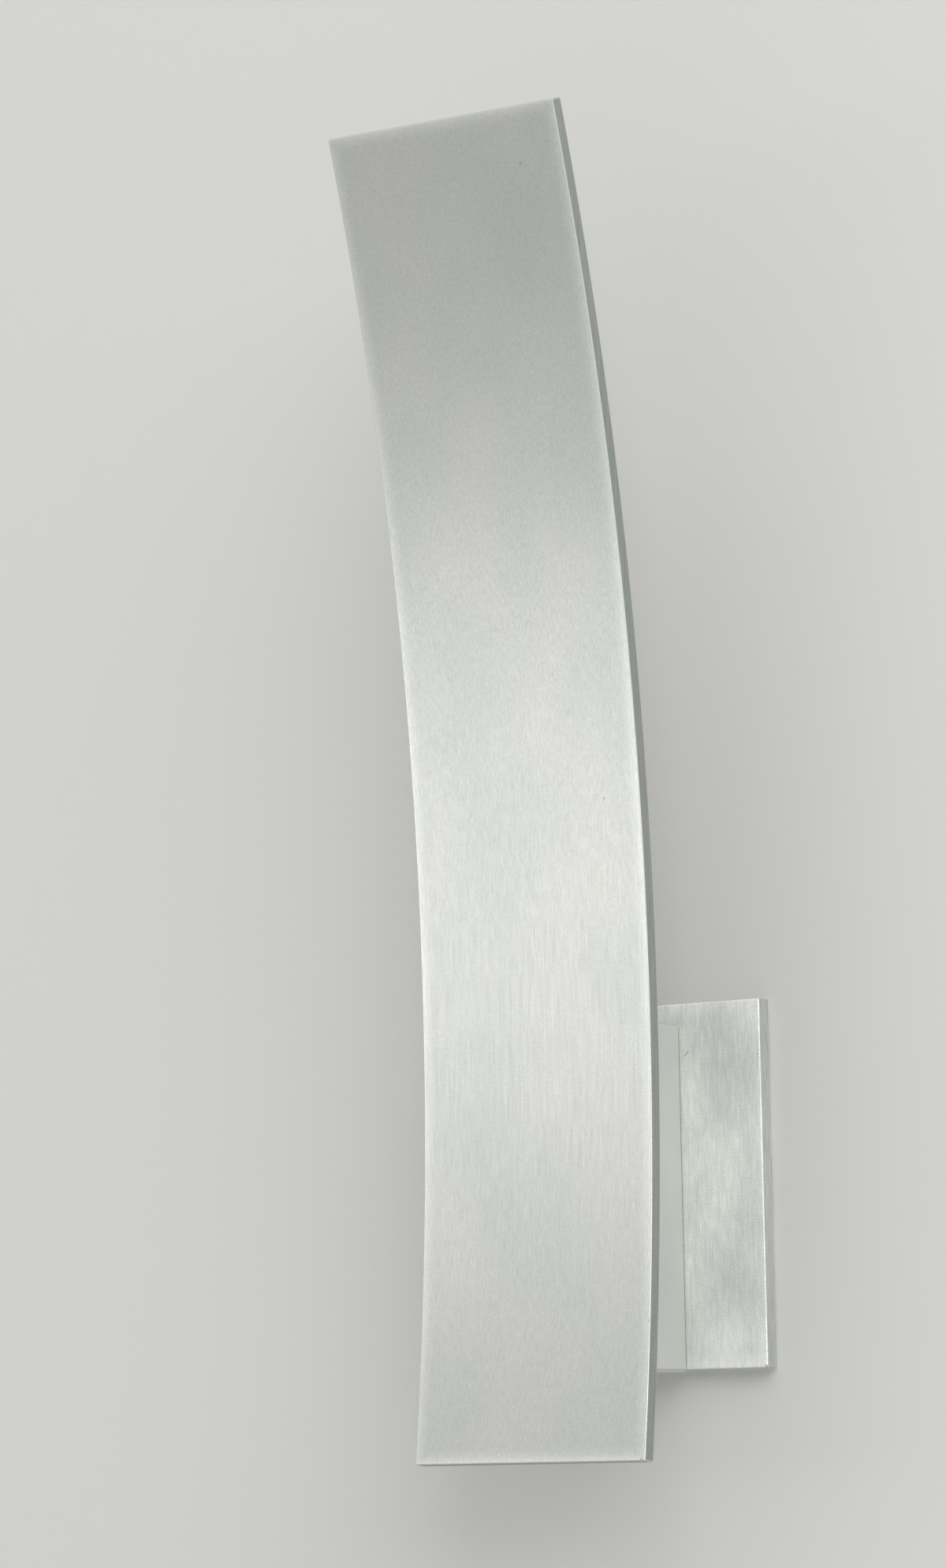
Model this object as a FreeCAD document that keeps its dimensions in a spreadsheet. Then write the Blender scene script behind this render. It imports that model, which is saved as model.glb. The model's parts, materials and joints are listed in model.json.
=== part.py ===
import FreeCAD, Part
import math
import os
import re
import Sketcher

# Outdoor wall sconce in millimetres: a tall curved metal blade that stands off the wall on a slim lamp
# housing, with a back plate that hides the wall bracket. The lamp shines up behind the blade.
# X runs to the right along the wall, Y into the wall and Z up. The origin is on the wall, at the middle
# of the back plate. "Out" in a name is a distance from the wall towards the room.

SIZES = {
    # Blade: a flat bar bent to an arc about a level axis in front of it, so that it leans out at its ends
    "blade_width": 114.3,
    "blade_gauge": 6.35,
    "blade_radius": 1300.0,
    "blade_top_angle": 17.28,
    "blade_bottom_angle": 7.58,
    "blade_standoff": 93.5,
    "plumb_height": 55.3,
    "edge_break": 0.4,
    "blade_seat_gap": 0.1,
    # Back plate: a shallow pan, open to the wall
    "plate_width": 114.3,
    "plate_height": 156.0,
    "plate_depth": 7.5,
    "plate_front_wall": 2.0,
    "plate_rim": 6.0,
    "rebate_width": 3.0,
    "rebate_depth": 2.0,
    "gasket_clearance": 0.1,
    # Wall bracket: pressed sheet with a lug at each end, for common outlet boxes
    "bracket_side_gap": 9.15,
    "bracket_end_gap": 7.5,
    "bracket_gauge": 1.5,
    "bracket_corner": 5.0,
    "bracket_opening_radius": 14.0,
    "lug_width": 24.0,
    "lug_front_gap": 0.5,
    "lug_bend": 1.0,
    "lug_clearance": 0.5,
    "tall_slot_spacing": 88.9,
    "wide_slot_spacing": 69.85,
    "slot_length": 12.0,
    "slot_radius": 2.3,
    "ground_screw_side": 24.0,
    "ground_screw_drop": 24.0,
    "ground_screw_radius": 2.3,
    "ground_flange_radius": 5.0,
    "ground_flange_gauge": 0.8,
    "ground_hex_radius": 4.0,
    "ground_hex_height": 2.2,
    # Set screws in the top and bottom edges of the back plate
    "set_screw_radius": 1.75,
    "set_screw_cover": 2.0,
    "set_screw_recess": 0.6,
    "set_screw_socket_radius": 1.0,
    "set_screw_socket_depth": 2.5,
    "set_screw_tip_gap": 0.1,
    "thread_clearance": 0.05,
    # Lamp housing: a slim hollow box between the plate and the blade
    "housing_width": 33.5,
    "housing_top_setback": 9.0,
    "housing_wall": 2.0,
    "housing_round": 2.0,
    "housing_gasket_gauge": 0.5,
    "post_size": 6.0,
    "upper_screw_drop": 15.6,
    "lower_screw_rise": 20.0,
    "housing_screw_radius": 2.0,
    "housing_screw_head_radius": 3.6,
    "housing_screw_head_height": 2.2,
    "housing_screw_reach": 5.0,
    # Bottom cover and its screws
    "cover_gauge": 1.2,
    "cover_plug": 2.0,
    "cover_clearance": 0.15,
    "weep_radius": 1.5,
    "small_screw_radius": 1.45,
    "small_screw_reach": 8.0,
    "small_head_radius": 2.8,
    "small_head_height": 1.6,
    "drive_share": 0.5,
    "drive_depth_share": 0.6,
    # Cable entry
    "entry_radius": 7.0,
    "entry_bore_radius": 4.5,
    "entry_flange_radius": 8.4,
    "entry_flange_gauge": 1.2,
    # Studs on the blade with their washers and nuts
    "stud_radius": 2.5,
    "stud_length": 10.0,
    "stud_top_drop": 18.0,
    "stud_pitch": 34.0,
    "stud_hole_clearance": 0.4,
    "washer_radius": 5.0,
    "washer_gauge": 1.0,
    "nut_corner_radius": 4.5,
    "nut_height": 4.0,
    # Lamp module, from the housing's open top down
    "lens_recess": 2.2,
    "bezel_gauge": 1.2,
    "bezel_lip": 2.6,
    "lens_gauge": 3.0,
    "lens_end_setback": 7.0,
    "lens_gasket_gauge": 1.0,
    "lens_gasket_width": 2.4,
    "reflector_height": 9.0,
    "reflector_wall": 3.0,
    "module_clearance": 0.25,
    "tray_gauge": 4.0,
    "thermal_pad_gauge": 0.5,
    "board_side_gap": 1.5,
    "board_end_gap": 1.275,
    "board_gauge": 1.6,
    "board_corner": 1.5,
    "chip_size": 3.0,
    "chip_height": 0.7,
    "chip_side": 6.0,
    "chip_margin": 4.5,
    "board_screw_inset": 3.0,
    "bezel_screw_radius": 1.25,
    "bezel_head_radius": 2.3,
    "bezel_head_height": 1.6,
    "lead_hole_radius": 3.2,
    "lead_hole_margin": 1.0,
    # Driver on its carrier
    "carrier_gauge": 1.2,
    "carrier_rise": 8.6,
    "carrier_back_gap": 1.0,
    "carrier_wall_gap": 0.2,
    "driver_front_gap": 6.05,
    "driver_width": 22.0,
    "driver_top_drop": 18.0,
    "driver_bottom_rise": 20.0,
    "driver_wall": 1.5,
    "driver_lid_lip": 1.0,
    "driver_lid_clearance": 0.1,
    "driver_tab": 7.0,
    "driver_tab_gauge": 2.0,
    "driver_board_gauge": 1.6,
    "driver_board_stand": 2.5,
    "driver_board_gap": 0.6,
    "driver_standoff_radius": 1.6,
    "transformer_core_length": 17.0,
    "transformer_core_depth": 20.0,
    "transformer_core_height": 5.0,
    "transformer_winding_radius": 7.5,
    "driver_part_gap": 0.9,
    "capacitor_radius": 5.0,
    "capacitor_gap": 2.0,
    # Terminal block and leads
    "terminal_depth": 8.0,
    "terminal_height": 11.0,
    "terminal_pitch": 8.0,
    "terminal_top_rise": 24.0,
    "terminal_back_gap": 4.0,
    "terminal_gap": 3.0,
    "terminal_screw_radius": 1.5,
    "terminal_screw_depth": 4.0,
    "lead_radius": 0.9,
    "lead_spacing": 3.4,
    "lead_bend": 2.2,
    "lead_landing": 3.0,
    "overrun": 1.0,
}

# Counts and turns are not lengths, so they stay apart from the sheet
STUD_COUNT = 3
CHIPS_IN_A_ROW = 6
TERMINAL_COUNT = 3
HEXAGON = 6
FULL_TURN = 360

# How near two places have to be to count as one, and the least volume that a cut removes
SAME_PLACE = 1e-4
LEAST_CUT = 1e-3

# Heights, distances and places that follow from the sizes above
DERIVED = {
    "blade_axis_out": "blade_standoff + blade_radius",
    "blade_back_radius": "blade_radius + blade_gauge",
    "seat_radius": "blade_back_radius + blade_seat_gap",
    "seat_inner_radius": "seat_radius + housing_wall",
    "pocket_depth": "plate_depth - plate_front_wall",
    "pocket_width": "plate_width - 2 * plate_rim",
    "pocket_height": "plate_height - 2 * plate_rim",
    "rebate_outer_width": "pocket_width + 2 * rebate_width",
    "rebate_outer_height": "pocket_height + 2 * rebate_width",
    "lug_face": "pocket_height / 2 - lug_clearance",
    "lug_out": "pocket_depth - lug_front_gap",
    "bracket_width": "pocket_width - 2 * bracket_side_gap",
    "bracket_height": "2 * (lug_face - bracket_end_gap)",
    "set_screw_out": "rebate_depth + set_screw_cover",
    "set_screw_tip": "lug_face + set_screw_tip_gap",
    "set_screw_end": "plate_height / 2 - set_screw_recess",
    "housing_back_out": "plate_depth + housing_gasket_gauge",
    "housing_inner_out": "housing_back_out + housing_wall",
    "housing_bottom": "-plate_height / 2",
    "housing_top": "plate_height / 2 - housing_top_setback",
    "inner_width": "housing_width - 2 * housing_wall",
    "bottom_front_out": "blade_axis_out - sqrt(seat_radius ^ 2 - (housing_bottom - plumb_height) ^ 2)",
    "inner_front_out": "blade_axis_out - seat_inner_radius",
    "post_side": "inner_width / 2 - post_size / 2",
    "back_post_out": "housing_inner_out + post_size / 2",
    "front_post_out": "inner_front_out - post_size / 2",
    "module_middle_out": "(housing_inner_out + inner_front_out) / 2",
    "module_width": "inner_width - 2 * module_clearance",
    "module_length": "inner_front_out - housing_inner_out - 2 * module_clearance",
    "bezel_top": "housing_top - lens_recess",
    "lens_top": "bezel_top - bezel_gauge",
    "lens_bottom": "lens_top - lens_gauge",
    "lens_gasket_bottom": "lens_bottom - lens_gasket_gauge",
    "lens_length": "module_length - 2 * lens_end_setback",
    "tray_top": "lens_gasket_bottom - reflector_height",
    "tray_bottom": "tray_top - tray_gauge",
    "board_bottom": "tray_top + thermal_pad_gauge",
    "board_top": "board_bottom + board_gauge",
    "board_width": "module_width - 2 * (reflector_wall + board_side_gap)",
    "board_length": "lens_length - 2 * (reflector_wall + board_end_gap)",
    "chip_pitch": "(board_length - 2 * chip_margin) / %d" % (CHIPS_IN_A_ROW - 1),
    "bezel_screw_place": "module_length / 2 - lens_end_setback / 2",
    "board_screw_place": "board_length / 2 - board_screw_inset",
    "upper_screw_height": "tray_bottom - upper_screw_drop",
    "lower_screw_height": "housing_bottom + lower_screw_rise",
    "stud_top": "tray_bottom - stud_top_drop",
    "post_bottom": "housing_bottom + cover_plug",
    "carrier_side": "inner_width / 2 - carrier_wall_gap",
    "carrier_face": "carrier_side - carrier_gauge",
    "carrier_back_out": "housing_inner_out + post_size + carrier_back_gap",
    "terminal_back_out": "housing_inner_out + post_size + terminal_back_gap",
    "terminal_front_out": "terminal_back_out + terminal_depth",
    "terminal_middle_out": "terminal_back_out + terminal_depth / 2",
    "driver_back_out": "terminal_front_out + terminal_gap",
    "carrier_front_out": "inner_front_out - post_size - driver_front_gap",
    "carrier_bottom": "housing_bottom + carrier_rise",
    "driver_depth": "carrier_front_out - driver_back_out",
    "driver_top": "tray_bottom - driver_top_drop",
    "driver_bottom": "carrier_bottom + driver_bottom_rise",
    "driver_height": "driver_top - driver_bottom",
    "driver_middle_out": "driver_back_out + driver_depth / 2",
    "driver_middle_height": "(driver_top + driver_bottom) / 2",
    "driver_open_side": "carrier_face - driver_width + driver_wall",
    "driver_board_back": "carrier_face - driver_wall - driver_board_stand",
    "driver_board_face": "driver_board_back - driver_board_gauge",
    "driver_part_height": "driver_board_face - driver_open_side - driver_lid_lip - driver_part_gap",
    "driver_board_depth": "driver_depth - 2 * driver_wall - 2 * driver_board_gap",
    "driver_board_height": "driver_height - 2 * driver_wall - 2 * driver_board_gap",
    "tab_screw_place": "driver_height / 2 + driver_tab / 2",
    "tab_face": "carrier_face - driver_tab_gauge",
    "terminal_top": "driver_bottom + terminal_top_rise",
    "terminal_face": "carrier_face - terminal_height",
    "lead_hole_out": "driver_back_out + driver_wall + lead_hole_margin + lead_hole_radius",
    "lead_across": "-(carrier_face - terminal_height / 2)",
    "lead_top": "board_top + lead_radius",
}

document = FreeCAD.newDocument("WallSconce")
sheet = document.addObject("Spreadsheet::Sheet", "Sizes")
pieces = []


def fill_sheet():
    """Write the sizes as plain numbers and what follows from them as formulas, each with its alias."""
    rows = [(name, str(number)) for name, number in SIZES.items()]
    rows += [(name, "=" + formula) for name, formula in DERIVED.items()]
    for row, (name, content) in enumerate(rows, start=1):
        sheet.set("A%d" % row, name)
        sheet.set("B%d" % row, content)
        sheet.setAlias("B%d" % row, name)
    document.recompute()


def bound(formula):
    """Point each name of a formula at its cell in the sheet."""
    def cell(match):
        word = match.group(0)
        return "Sizes." + word if word in SIZES or word in DERIVED else word
    return re.sub(r"[a-z_]+", cell, formula)


def value(formula):
    """Give the number that a formula stands for now."""
    return float(sheet.evalExpression(formula))


def bind(thing, name, formula):
    """Tie a property of a document object to the sheet."""
    thing.setExpression(name, bound(formula))


def less(formula):
    """Turn a formula's sign, for the left, the underside or the way out of the wall."""
    return "-(%s)" % formula


# Outlines for sketches, in formulas of the sheet's names

def corners(points, arcs=None):
    """Describe a closed outline. arcs maps an edge's number to its centre, radius and way round."""
    return {"points": points, "arcs": arcs or {}}


def block(left, low, right, high):
    """Describe a rectangle by its sides."""
    return corners([(left, low), (right, low), (right, high), (left, high)])


def panel(width, height, across="0", up="0"):
    """Describe a rectangle about its middle."""
    left, right = ("%s %s (%s) / 2" % (across, sign, width) for sign in "-+")
    low, high = ("%s %s (%s) / 2" % (up, sign, height) for sign in "-+")
    return block(left, low, right, high)


def disc(across, up, radius):
    """Describe a circle."""
    return {"disc": (across, up, radius)}


def hexagon(across, up, radius):
    """Describe a regular hexagon by its middle and corner radius."""
    turns = [number * FULL_TURN / HEXAGON for number in range(HEXAGON)]
    return corners([("%s + (%s) * cos(%g)" % (across, radius, turn),
                     "%s + (%s) * sin(%g)" % (up, radius, turn)) for turn in turns])


def discs(places, radius):
    """Describe a circle at each place."""
    return [disc(*place, radius) for place in places]


def clear_holes(places, radius):
    """Describe a hole at each place, wider than the screw by the thread clearance."""
    return discs(places, radius + " + thread_clearance")


def hexagons(places, radius):
    """Describe a hexagon at each place."""
    return [hexagon(*place, radius) for place in places]


def slot(across, up, length, radius, upright):
    """Describe a round-ended slot about its middle."""
    reach = "((%s) / 2 - %s)" % (length, radius)
    if upright:
        ends = [("%s - %s" % (across, radius), "%s - %s" % (up, reach)),
                ("%s + %s" % (across, radius), "%s - %s" % (up, reach)),
                ("%s + %s" % (across, radius), "%s + %s" % (up, reach)),
                ("%s - %s" % (across, radius), "%s + %s" % (up, reach))]
        return corners(ends, {0: (across, "%s - %s" % (up, reach), radius, "left"),
                              2: (across, "%s + %s" % (up, reach), radius, "left")})
    ends = [("%s - %s" % (across, reach), "%s - %s" % (up, radius)),
            ("%s + %s" % (across, reach), "%s - %s" % (up, radius)),
            ("%s + %s" % (across, reach), "%s + %s" % (up, radius)),
            ("%s - %s" % (across, reach), "%s + %s" % (up, radius))]
    return corners(ends, {1: ("%s + %s" % (across, reach), up, radius, "left"),
                          3: ("%s - %s" % (across, reach), up, radius, "left")})


def pin(sketch, geometry, end, across=None, up=None):
    """Hold a sketch point at its place from the sketch's origin."""
    for kind, formula in (("DistanceX", across), ("DistanceY", up)):
        if formula is not None:
            number = sketch.addConstraint(Sketcher.Constraint(kind, -1, 1, geometry, end, value(formula)))
            if re.search("[a-z]", formula):
                bind(sketch, "Constraints[%d]" % number, formula)


def draw_disc(sketch, across, up, radius):
    """Draw a circle whose middle and radius follow the sheet."""
    centre = FreeCAD.Vector(value(across), value(up), 0)
    geometry = sketch.addGeometry(Part.Circle(centre, FreeCAD.Vector(0, 0, 1), value(radius)))
    pin(sketch, geometry, 3, across, up)
    number = sketch.addConstraint(Sketcher.Constraint("Radius", geometry, value(radius)))
    bind(sketch, "Constraints[%d]" % number, radius)


def draw_edge(sketch, start, finish, arc):
    """Draw one edge of an outline and give its number and which of its ends is its start and its finish."""
    if arc is None:
        return sketch.addGeometry(Part.LineSegment(start, finish)), 1, 2
    across, up, radius, way = arc
    centre = FreeCAD.Vector(value(across), value(up), 0)
    first, last = (start, finish) if way == "left" else (finish, start)
    turns = [math.atan2(point.y - centre.y, point.x - centre.x) for point in (first, last)]
    if turns[1] <= turns[0]:
        turns[1] += 2 * math.pi
    circle = Part.Circle(centre, FreeCAD.Vector(0, 0, 1), value(radius))
    geometry = sketch.addGeometry(Part.ArcOfCircle(circle, turns[0], turns[1]))
    pin(sketch, geometry, 3, across, up)
    number = sketch.addConstraint(Sketcher.Constraint("Radius", geometry, value(radius)))
    bind(sketch, "Constraints[%d]" % number, radius)
    return (geometry, 1, 2) if way == "left" else (geometry, 2, 1)


def draw_corners(sketch, points, arcs, closed=True):
    """Draw an outline or an open route. A corner on an arc takes one of its places from the arc's radius."""
    places = [FreeCAD.Vector(value(across), value(up), 0) for across, up in points]
    count = len(points)
    edges = [draw_edge(sketch, places[number], places[(number + 1) % count], arcs.get(number))
             for number in range(count if closed else count - 1)]
    for number, (geometry, start, _) in enumerate(edges):
        if closed or number:
            before, _, finish = edges[number - 1]
            sketch.addConstraint(Sketcher.Constraint("Coincident", before, finish, geometry, start))
        across, up = points[number]
        arc = arcs.get(number) or arcs.get((number - 1) % count)
        if arc:
            sideways = abs(places[number].x - value(arc[0]))
            upwards = abs(places[number].y - value(arc[1]))
            across, up = (None, up) if sideways >= upwards else (across, None)
        pin(sketch, geometry, start, across, up)
    if not closed:
        geometry, _, finish = edges[-1]
        pin(sketch, geometry, finish, *points[-1])


# Features of a piece

def piece(label):
    """Start a piece as a body of its own."""
    body = document.addObject("PartDesign::Body", label)
    body.Label = label
    pieces.append(body)
    return body


def new_sketch(body, plane, start):
    """Start a sketch on one of the body's own planes, moved along its normal to start."""
    sketch = body.newObject("Sketcher::SketchObject", body.Name + "_outline")
    support = next(item for item in body.Origin.OriginFeatures if item.Role == plane)
    sketch.AttachmentSupport = [(support, "")]
    sketch.MapMode = "FlatFace"
    if re.search("[a-z]", start):
        bind(sketch, "AttachmentOffset.Base.z", start)
    return sketch


def extrude(body, plane, start, length, shapes, cut=False, both_ways=False, back=False):
    """Add or cut a length of the drawn shapes, from a plane of the body's own moved to start.

    It runs along the plane's normal, or against it with back: up from XY_Plane, out of the wall from
    XZ_Plane and to the right from YZ_Plane.
    """
    sketch = new_sketch(body, plane, start)
    for shape in shapes:
        if "disc" in shape:
            draw_disc(sketch, *shape["disc"])
        else:
            draw_corners(sketch, shape["points"], shape["arcs"])
    kind = "Pocket" if cut else "Pad"
    feature = body.newObject("PartDesign::" + kind, body.Name + "_" + kind.lower())
    feature.Profile = sketch
    feature.SideType = "Symmetric" if both_ways else "One side"
    feature.Reversed = cut != back
    bind(feature, "Length", length)


def dress(body, kind, size, chosen):
    """Round or bevel the edges of a body's last feature that chosen picks out."""
    document.recompute()
    base = body.Tip
    names = ["Edge%d" % number for number, edge in enumerate(base.Shape.Edges, start=1) if chosen(edge)]
    feature = body.newObject("PartDesign::" + kind, body.Name + "_" + kind.lower())
    feature.Base = (base, names)
    bind(feature, "Radius" if kind == "Fillet" else "Size", size)
    return feature


def lies_at(edge, **places):
    """Tell whether a whole edge lies at the given x, y or z."""
    return all(abs(getattr(vertex.Point, axis) - place) < SAME_PLACE
               for axis, place in places.items() for vertex in edge.Vertexes)


def at_four(side, first, second):
    """List places at both sides and at two distances."""
    return [(across, along) for across in (side, less(side)) for along in (first, second)]


# The pieces, from the wall outwards

def make_wall_bracket():
    """Flat sheet with two bent lugs, slots for outlet boxes and an opening for the supply wires."""
    body = piece("wall_bracket")
    extrude(body, "XZ_Plane", "0", "bracket_gauge", [panel("bracket_width", "bracket_height")])
    upright = [(x, z) for x in (-1, 1) for z in (-1, 1)]
    half_width, half_height = value("bracket_width / 2"), value("bracket_height / 2")
    dress(body, "Fillet", "bracket_corner",
          lambda edge: any(lies_at(edge, x=x * half_width, z=z * half_height) for x, z in upright))
    extrude(body, "XZ_Plane", "0", "bracket_gauge", [panel("lug_width", "2 * lug_face")])
    for sign in ("", "-"):
        ends = sorted((sign + "lug_face", sign + "(lug_face - bracket_gauge)"), key=value)
        lug = block("-lug_width / 2", ends[0], "lug_width / 2", ends[1])
        extrude(body, "XZ_Plane", "0", "lug_out", [lug])
    inner_bend = value("lug_face - bracket_gauge")
    dress(body, "Fillet", "lug_bend", lambda edge: any(
        lies_at(edge, y=-value("bracket_gauge"), z=sign * inner_bend) for sign in (-1, 1)))
    dress(body, "Fillet", "lug_bend + bracket_gauge", lambda edge: any(
        lies_at(edge, y=0, z=sign * value("lug_face")) for sign in (-1, 1)))
    holes = [disc("0", "0", "bracket_opening_radius"),
             disc("-ground_screw_side", "-ground_screw_drop", "ground_screw_radius + thread_clearance")]
    for sign in ("", "-"):
        holes.append(slot("0", sign + "tall_slot_spacing / 2", "slot_length", "slot_radius", True))
        holes.append(slot(sign + "wide_slot_spacing / 2", "0", "slot_length", "slot_radius", False))
    extrude(body, "XZ_Plane", "bracket_gauge", "bracket_gauge + overrun", holes, cut=True, back=True)


def make_ground_screw():
    """Green hexagon flange screw in the bracket."""
    body = piece("ground_screw")
    place = ("-ground_screw_side", "-ground_screw_drop")
    shank, flange = disc(*place, "ground_screw_radius"), disc(*place, "ground_flange_radius")
    extrude(body, "XZ_Plane", "bracket_gauge", "bracket_gauge", [shank], back=True)
    extrude(body, "XZ_Plane", "bracket_gauge", "ground_flange_gauge", [flange])
    extrude(body, "XZ_Plane", "bracket_gauge + ground_flange_gauge", "ground_hex_height",
            [hexagon(*place, "ground_hex_radius")])


def make_back_plate():
    """Brushed pan that covers the outlet box."""
    body = piece("back_plate")
    extrude(body, "XZ_Plane", "0", "plate_depth", [panel("plate_width", "plate_height")])
    dress(body, "Chamfer", "edge_break", lambda edge: lies_at(edge, y=-value("plate_depth")))
    pocket = panel("pocket_width", "pocket_height")
    extrude(body, "XZ_Plane", "pocket_depth", "pocket_depth + overrun", [pocket], cut=True, back=True)
    extrude(body, "XZ_Plane", "rebate_depth", "rebate_depth + overrun",
            [panel("rebate_outer_width", "rebate_outer_height")], cut=True, back=True)
    holes = [disc("0", "0", "entry_radius")]
    holes += clear_holes(housing_screw_places(), "housing_screw_radius")
    extrude(body, "XZ_Plane", "0", "plate_depth + overrun", holes, cut=True)
    extrude(body, "XY_Plane", "0", "plate_height + overrun",
            [disc("0", "-set_screw_out", "set_screw_radius + thread_clearance")], cut=True, both_ways=True)


def housing_screw_places():
    """Places across and up of the four screws that hold the housing to the back plate."""
    return at_four("post_side", "upper_screw_height", "lower_screw_height")


def make_wall_gasket():
    """Foam ring in the rebate of the back plate's rim, flush with the wall."""
    body = piece("wall_gasket")
    outer = panel("rebate_outer_width - 2 * gasket_clearance", "rebate_outer_height - 2 * gasket_clearance")
    extrude(body, "XZ_Plane", "0", "rebate_depth", [outer, panel("pocket_width", "pocket_height")])


def make_set_screw(label, sign):
    """Socket set screw through the rim, just short of the bracket's lug."""
    body = piece(label)
    inner, outer = sign + "set_screw_tip", sign + "set_screw_end"
    back = sign == "-"
    shank = disc("0", "-set_screw_out", "set_screw_radius")
    extrude(body, "XY_Plane", inner, "set_screw_end - set_screw_tip", [shank], back=back)
    dress(body, "Chamfer", "set_screw_radius / 3", lambda edge: lies_at(edge, z=value(inner)))
    extrude(body, "XY_Plane", outer, "set_screw_socket_depth",
            [hexagon("0", "-set_screw_out", "set_screw_socket_radius")], cut=True, back=not back)


def make_housing_screws():
    """Four screws from the plate's pocket into the housing's rear posts."""
    body = piece("housing_screws")
    places = housing_screw_places()
    shank = "housing_back_out + housing_wall + housing_screw_reach - pocket_depth"
    extrude(body, "XZ_Plane", "pocket_depth", shank, discs(places, "housing_screw_radius"))
    extrude(body, "XZ_Plane", "pocket_depth", "housing_screw_head_height",
            discs(places, "housing_screw_head_radius"), back=True)
    head_end = value("housing_screw_head_height - pocket_depth")
    dress(body, "Fillet", "housing_screw_head_height / 2", lambda edge: lies_at(edge, y=head_end))
    extrude(body, "XZ_Plane", "pocket_depth - housing_screw_head_height",
            "housing_screw_head_height * drive_depth_share",
            hexagons(places, "housing_screw_head_radius * drive_share"), cut=True)


def make_wire_grommet():
    """Rubber bush with a flange at each side of the plate and housing walls."""
    body = piece("wire_grommet")
    back, front = "pocket_depth", "housing_inner_out"
    extrude(body, "XZ_Plane", back, front + " - " + back, [disc("0", "0", "entry_radius - gasket_clearance")])
    extrude(body, "XZ_Plane", back, "entry_flange_gauge", [disc("0", "0", "entry_flange_radius")], back=True)
    extrude(body, "XZ_Plane", front, "entry_flange_gauge", [disc("0", "0", "entry_flange_radius")])
    extrude(body, "XZ_Plane", "0", "housing_inner_out + entry_flange_gauge + overrun",
            [disc("0", "0", "entry_bore_radius")], cut=True)


def make_housing_gasket():
    """Thin sheet between the back plate and the housing, a dark line along the joint."""
    body = piece("housing_gasket")
    half, low = "(housing_width / 2 - gasket_clearance)", "housing_bottom + gasket_clearance"
    sheet_outline = block("-" + half, low, half, "housing_top - housing_round")
    holes = [disc("0", "0", "entry_radius")]
    holes += clear_holes(housing_screw_places(), "housing_screw_radius")
    extrude(body, "XZ_Plane", "plate_depth", "housing_gasket_gauge", [sheet_outline] + holes)


def blade_arc(radius, way):
    """Describe an arc about the blade's axis, for an outline in the YZ plane."""
    return ("-blade_axis_out", "plumb_height", radius, way)


def on_arc(radius, height):
    """Place a corner on an arc about the blade's axis at a height."""
    return ("sqrt((%s) ^ 2 - (%s - plumb_height) ^ 2) - blade_axis_out" % (radius, height), height)


def upright_profile(back_out, front_radius, low, high):
    """Outline in the YZ plane with a plumb back and a front that follows the blade."""
    back = [("-" + back_out, low), ("-" + back_out, high)]
    points = [on_arc(front_radius, low)] + back + [on_arc(front_radius, high)]
    return corners(points, {3: blade_arc(front_radius, "right")})


def make_lamp_housing():
    """Hollow box, open at the top and the bottom, with a screw post in each inner corner."""
    body = piece("lamp_housing")
    outside = upright_profile("housing_back_out", "seat_radius", "housing_bottom", "housing_top")
    extrude(body, "YZ_Plane", "0", "housing_width", [outside], both_ways=True)
    dress(body, "Fillet", "housing_round",
          lambda edge: lies_at(edge, y=-value("housing_back_out"), z=value("housing_top")))
    inside = upright_profile("housing_inner_out", "seat_inner_radius", "housing_bottom - overrun",
                             "housing_top + overrun")
    extrude(body, "YZ_Plane", "0", "inner_width", [inside], cut=True, both_ways=True)
    for out in ("back_post_out", "front_post_out"):
        posts = [block(*sides) for sides in post_sides(out)]
        extrude(body, "XY_Plane", "post_bottom", "tray_bottom - post_bottom", posts)
    bores = clear_holes(post_places(), "small_screw_radius")
    extrude(body, "XY_Plane", "tray_bottom", "small_screw_reach + overrun", bores, cut=True, back=True)
    extrude(body, "XY_Plane", "post_bottom", "small_screw_reach + overrun", bores, cut=True)
    holes = clear_holes(housing_screw_places(), "housing_screw_radius")
    extrude(body, "XZ_Plane", "housing_back_out", "housing_wall + housing_screw_reach", holes, cut=True)
    extrude(body, "XZ_Plane", "housing_back_out", "housing_wall", [disc("0", "0", "entry_radius")], cut=True)
    studs = discs([("0", stud_height(number)) for number in range(STUD_COUNT)],
                  "stud_radius + stud_hole_clearance")
    extrude(body, "XZ_Plane", "inner_front_out - overrun", "bottom_front_out - inner_front_out + overrun",
            studs, cut=True)


def post_sides(out):
    """Sides of the two posts at one distance out, each run into the side wall by half its thickness."""
    inner, outer = "inner_width / 2 - post_size", "(inner_width + housing_wall) / 2"
    near, far = "-(%s - post_size / 2)" % out, "-(%s + post_size / 2)" % out
    if out == "back_post_out":
        near += " + housing_wall / 2"
    return [(inner, far, outer, near), (less(outer), far, less(inner), near)]


def post_places():
    """Places across and along Y of the screws in the ends of the four posts."""
    return at_four("post_side", "-back_post_out", "-front_post_out")


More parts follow.
